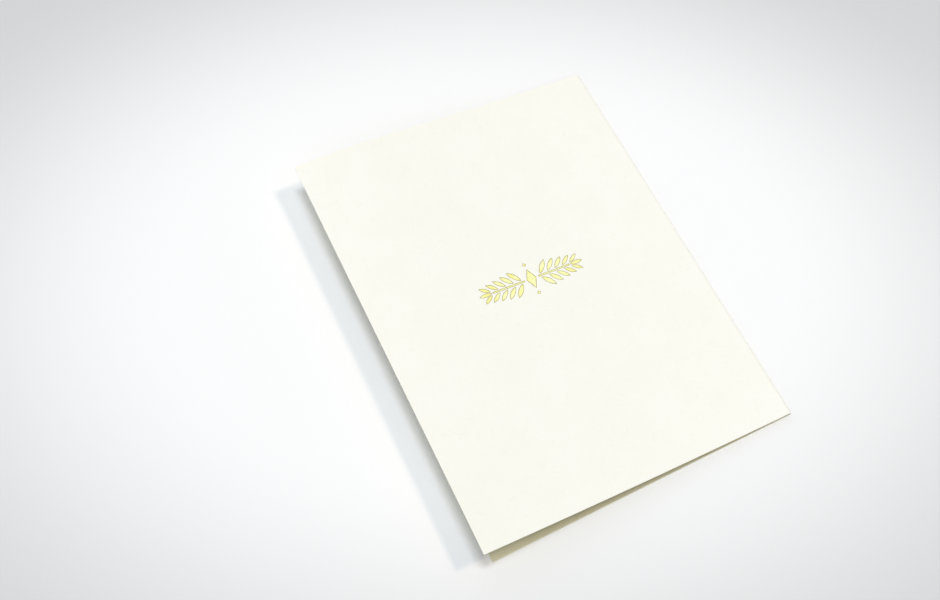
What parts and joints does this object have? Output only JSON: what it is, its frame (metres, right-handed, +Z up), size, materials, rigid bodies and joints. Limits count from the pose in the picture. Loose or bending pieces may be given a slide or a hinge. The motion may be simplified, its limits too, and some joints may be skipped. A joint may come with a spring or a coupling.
{
  "type": "greeting card",
  "caption": "Portrait greeting card of heavy cream card folded in half, its front leaf springing open, with a small gold foil leaf spray pressed into its middle.",
  "frame": {"origin": "middle of the footprint, on the underside of the back leaf", "axes": "+X across the card towards the fold, +Y up the card, +Z up out of the front leaf"},
  "size_m": [0.1072, 0.1404, 0.0137],
  "materials": {
    "cream_card": "matte",
    "gold_foil": "polished"
  },
  "bodies": {
    "root": {"folded_card": "cream_card", "foil_spray": "gold_foil"}
  },
  "joints": []
}
